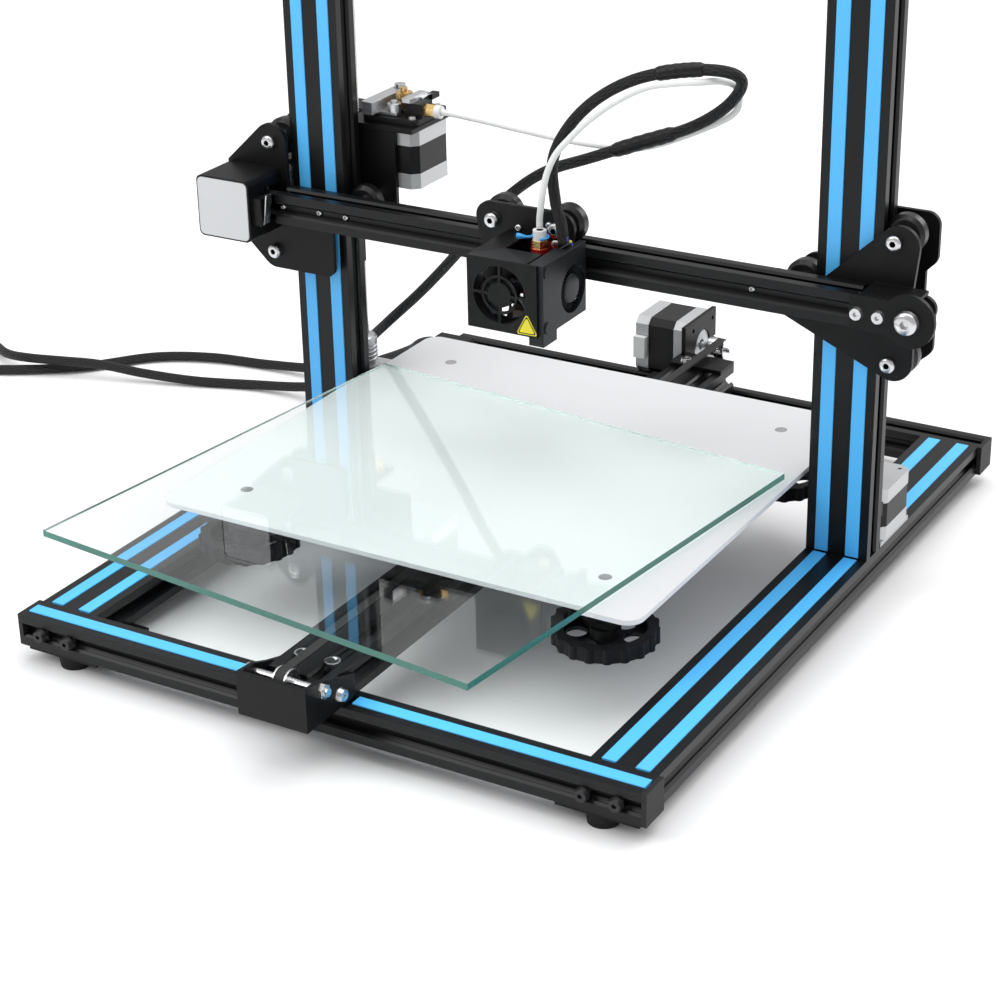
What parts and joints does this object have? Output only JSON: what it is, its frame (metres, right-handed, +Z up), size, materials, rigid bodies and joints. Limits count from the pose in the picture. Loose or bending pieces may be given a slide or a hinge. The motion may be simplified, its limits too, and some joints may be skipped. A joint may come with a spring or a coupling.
{
  "type": "fdm printer",
  "caption": "Open-frame desktop fdm printer: slotted black rails, sliding bed with loose glass, rising gantry, hot-end carriage, motors, belts and lead screws.",
  "frame": {"origin": "middle of the rectangle that the base, the front idler bracket and the rear motor fill, on the surface the feet stand on", "axes": "+X to the right seen from the front, +Y from front to back, +Z up"},
  "size_m": [0.9805, 0.579, 0.631],
  "materials": {
    "black_rail": "satin anodised",
    "cover_strip": "smooth",
    "grey_cap": "smooth",
    "black_steel": "fine matt powder coat",
    "foot_rubber": "matt",
    "steel": "plain",
    "zinc_sheet": "zinc plated",
    "motor": "machined",
    "belt": "matt, toothed inside",
    "sleeve": "braided",
    "clear_glass": "polished",
    "bed_alloy": "fine satin",
    "dark_plastic": "fine texture",
    "wheel_plastic": "turned",
    "pulley_alloy": "turned",
    "gear_brass": "turned",
    "lever_alloy": "cast",
    "tube_white": "smooth",
    "sink_red": "anodised"
  },
  "bodies": {
    "frame": {"cross_rails": "black_rail", "side_rails": "black_rail", "uprights": "black_rail", "y_rail": "black_rail", "slot_covers": "cover_strip", "end_caps": "grey_cap", "corner_plates": "black_steel", "rubber_feet": "foot_rubber", "frame_fixings": "steel", "y_idler_bracket": "black_steel", "motor_brackets": "zinc_sheet", "frame_motors": "motor", "y_belt": "belt", "bed_cable": "sleeve", "hot_end_cable": "sleeve", "cable_ends": "sleeve"},
    "left_screw": {"left_lead_screw": "steel"},
    "right_screw": {"right_lead_screw": "steel"},
    "y_pulley": {"y_pulley": "pulley_alloy"},
    "y_idler": {"y_idler": "pulley_alloy"},
    "bed": {"bed_carriage": "black_steel", "bed_plate": "bed_alloy", "bed_screws": "steel", "bed_springs": "steel"},
    "glass": {"glass_sheet": "clear_glass"},
    "gantry": {"x_rail": "black_rail", "gantry_plates": "black_steel", "x_motor_cover": "black_steel", "gantry_motors": "motor", "extruder_body": "dark_plastic", "gantry_fixings": "steel", "x_belt": "belt"},
    "x_pulley": {"x_pulley": "pulley_alloy"},
    "x_idler": {"x_idler": "pulley_alloy"},
    "extruder_lever": {"extruder_lever": "lever_alloy"},
    "extruder_gear": {"extruder_gear": "gear_brass"},
    "carriage": {"carriage_plate": "black_steel", "shroud": "black_steel", "hot_end": "sink_red", "blower": "dark_plastic", "bowden_tube": "tube_white"},
    "fan_rotor": {"fan_rotor": "dark_plastic"},
    "blower_rotor": {"blower_rotor": "dark_plastic"},
    "bed_wheel_fl": {"bed_wheel_fl": "wheel_plastic"},
    "bed_wheel_fr": {"bed_wheel_fr": "wheel_plastic"},
    "bed_wheel_rl": {"bed_wheel_rl": "wheel_plastic"},
    "bed_wheel_rr": {"bed_wheel_rr": "wheel_plastic"},
    "knob_fl": {"knob_fl": "dark_plastic"},
    "knob_fr": {"knob_fr": "dark_plastic"},
    "knob_rl": {"knob_rl": "dark_plastic"},
    "knob_rr": {"knob_rr": "dark_plastic"},
    "wheel_left_top": {"wheel_left_top": "wheel_plastic"},
    "wheel_left_low": {"wheel_left_low": "wheel_plastic"},
    "wheel_left_inner": {"wheel_left_inner": "wheel_plastic"},
    "wheel_right_top": {"wheel_right_top": "wheel_plastic"},
    "wheel_right_low": {"wheel_right_low": "wheel_plastic"},
    "wheel_right_inner": {"wheel_right_inner": "wheel_plastic"},
    "carriage_wheel_left": {"carriage_wheel_left": "wheel_plastic"},
    "carriage_wheel_right": {"carriage_wheel_right": "wheel_plastic"},
    "carriage_wheel_low": {"carriage_wheel_low": "wheel_plastic"}
  },
  "joints": [
    {"name": "bed_slide", "type": "slide", "parent": "frame", "child": "bed", "axis": [0, 1, 0], "range_m": [-0.145, 0.155], "deforming": ["bed_cable"]},
    {"name": "gantry_rise", "type": "slide", "parent": "frame", "child": "gantry", "axis": [0, 0, 1], "range_m": [-0.077, 0.32], "deforming": ["hot_end_cable"]},
    {"name": "carriage_slide", "type": "slide", "parent": "gantry", "child": "carriage", "axis": [1, 0, 0], "range_m": [-0.145, 0.15], "deforming": ["bowden_tube"]},
    {"name": "glass_lift_off", "type": "slide", "parent": "frame", "child": "glass", "axis": [0, -1, 0], "range_m": [0, 0.36]},
    {"name": "bed_wheel_fl_spin", "type": "hinge", "parent": "bed", "child": "bed_wheel_fl", "pos_m": [-0.03045, -0.082, 0.041], "axis": [0, 0, 1], "continuous": true},
    {"name": "bed_wheel_fr_spin", "type": "hinge", "parent": "bed", "child": "bed_wheel_fr", "pos_m": [0.03045, -0.082, 0.041], "axis": [0, 0, 1], "continuous": true},
    {"name": "bed_wheel_rl_spin", "type": "hinge", "parent": "bed", "child": "bed_wheel_rl", "pos_m": [-0.03045, 0.042, 0.041], "axis": [0, 0, 1], "continuous": true},
    {"name": "bed_wheel_rr_spin", "type": "hinge", "parent": "bed", "child": "bed_wheel_rr", "pos_m": [0.03045, 0.042, 0.041], "axis": [0, 0, 1], "continuous": true},
    {"name": "knob_fl_turn", "type": "hinge", "parent": "bed", "child": "knob_fl", "pos_m": [-0.122, -0.138, 0.048], "axis": [0, 0, 1], "continuous": true},
    {"name": "knob_fr_turn", "type": "hinge", "parent": "bed", "child": "knob_fr", "pos_m": [0.122, -0.138, 0.048], "axis": [0, 0, 1], "continuous": true},
    {"name": "knob_rl_turn", "type": "hinge", "parent": "bed", "child": "knob_rl", "pos_m": [-0.122, 0.098, 0.048], "axis": [0, 0, 1], "continuous": true},
    {"name": "knob_rr_turn", "type": "hinge", "parent": "bed", "child": "knob_rr", "pos_m": [0.122, 0.098, 0.048], "axis": [0, 0, 1], "continuous": true},
    {"name": "wheel_left_top_spin", "type": "hinge", "parent": "gantry", "child": "wheel_left_top", "pos_m": [-0.21545, 0.053, 0.239], "axis": [0, 1, 0], "continuous": true},
    {"name": "wheel_left_low_spin", "type": "hinge", "parent": "gantry", "child": "wheel_left_low", "pos_m": [-0.21545, 0.053, 0.165], "axis": [0, 1, 0], "continuous": true},
    {"name": "wheel_left_inner_spin", "type": "hinge", "parent": "gantry", "child": "wheel_left_inner", "pos_m": [-0.15455, 0.053, 0.202], "axis": [0, 1, 0], "continuous": true},
    {"name": "wheel_right_top_spin", "type": "hinge", "parent": "gantry", "child": "wheel_right_top", "pos_m": [0.21545, 0.053, 0.239], "axis": [0, 1, 0], "continuous": true},
    {"name": "wheel_right_low_spin", "type": "hinge", "parent": "gantry", "child": "wheel_right_low", "pos_m": [0.21545, 0.053, 0.165], "axis": [0, 1, 0], "continuous": true},
    {"name": "wheel_right_inner_spin", "type": "hinge", "parent": "gantry", "child": "wheel_right_inner", "pos_m": [0.15455, 0.053, 0.202], "axis": [0, 1, 0], "continuous": true},
    {"name": "carriage_wheel_left_spin", "type": "hinge", "parent": "carriage", "child": "carriage_wheel_left", "pos_m": [-0.033, 0.0247, 0.22245], "axis": [0, 1, 0], "continuous": true},
    {"name": "carriage_wheel_right_spin", "type": "hinge", "parent": "carriage", "child": "carriage_wheel_right", "pos_m": [0.011, 0.0247, 0.22245], "axis": [0, 1, 0], "continuous": true},
    {"name": "carriage_wheel_low_spin", "type": "hinge", "parent": "carriage", "child": "carriage_wheel_low", "pos_m": [-0.011, 0.0247, 0.18155], "axis": [0, 1, 0], "continuous": true},
    {"name": "y_pulley_spin", "type": "hinge", "parent": "frame", "child": "y_pulley", "pos_m": [0, 0.26835, 0.0523], "axis": [1, 0, 0], "continuous": true},
    {"name": "y_idler_spin", "type": "hinge", "parent": "frame", "child": "y_idler", "pos_m": [0, -0.2755, 0.0523], "axis": [1, 0, 0], "continuous": true},
    {"name": "x_pulley_spin", "type": "hinge", "parent": "gantry", "child": "x_pulley", "pos_m": [-0.2288, 0.0247, 0.202], "axis": [0, 1, 0], "continuous": true},
    {"name": "x_idler_spin", "type": "hinge", "parent": "gantry", "child": "x_idler", "pos_m": [0.234, 0.0247, 0.202], "axis": [0, 1, 0], "continuous": true},
    {"name": "left_screw_spin", "type": "hinge", "parent": "frame", "child": "left_screw", "pos_m": [-0.185, 0.087, 0.3], "axis": [0, 0, 1], "continuous": true},
    {"name": "right_screw_spin", "type": "hinge", "parent": "frame", "child": "right_screw", "pos_m": [0.185, 0.087, 0.3], "axis": [0, 0, 1], "continuous": true},
    {"name": "fan_spin", "type": "hinge", "parent": "carriage", "child": "fan_rotor", "pos_m": [-0.0009, -0.033, 0.195], "axis": [0, 1, 0], "continuous": true},
    {"name": "blower_spin", "type": "hinge", "parent": "carriage", "child": "blower_rotor", "pos_m": [0.023, -0.0016, 0.1915], "axis": [1, 0, 0], "continuous": true},
    {"name": "extruder_gear_spin", "type": "hinge", "parent": "gantry", "child": "extruder_gear", "pos_m": [-0.1481, 0.0925, 0.255], "axis": [0, 0, 1], "continuous": true},
    {"name": "extruder_lever_press", "type": "hinge", "parent": "gantry", "child": "extruder_lever", "pos_m": [-0.1598, 0.106, 0.258], "axis": [0, 0, 1], "range_deg": [-3, 0], "stiffness_Nm_per_rad": 0.3}
  ],
  "couplings": [
    {"joint": "bed_wheel_fl_spin", "follows": "bed_slide", "rad_per_m": -95},
    {"joint": "bed_wheel_fr_spin", "follows": "bed_slide", "rad_per_m": 95},
    {"joint": "bed_wheel_rl_spin", "follows": "bed_slide", "rad_per_m": -95},
    {"joint": "bed_wheel_rr_spin", "follows": "bed_slide", "rad_per_m": 95},
    {"joint": "wheel_left_top_spin", "follows": "gantry_rise", "rad_per_m": 95},
    {"joint": "wheel_left_low_spin", "follows": "gantry_rise", "rad_per_m": 95},
    {"joint": "wheel_left_inner_spin", "follows": "gantry_rise", "rad_per_m": -95},
    {"joint": "wheel_right_top_spin", "follows": "gantry_rise", "rad_per_m": -95},
    {"joint": "wheel_right_low_spin", "follows": "gantry_rise", "rad_per_m": -95},
    {"joint": "wheel_right_inner_spin", "follows": "gantry_rise", "rad_per_m": 95},
    {"joint": "carriage_wheel_left_spin", "follows": "carriage_slide", "rad_per_m": 95},
    {"joint": "carriage_wheel_right_spin", "follows": "carriage_slide", "rad_per_m": 95},
    {"joint": "carriage_wheel_low_spin", "follows": "carriage_slide", "rad_per_m": -95},
    {"joint": "y_pulley_spin", "follows": "bed_slide", "rad_per_m": -157},
    {"joint": "y_idler_spin", "follows": "bed_slide", "rad_per_m": -157},
    {"joint": "x_pulley_spin", "follows": "carriage_slide", "rad_per_m": -157},
    {"joint": "x_idler_spin", "follows": "carriage_slide", "rad_per_m": -157},
    {"joint": "left_screw_spin", "follows": "gantry_rise", "rad_per_m": -785.4},
    {"joint": "right_screw_spin", "follows": "gantry_rise", "rad_per_m": -785.4}
  ]
}
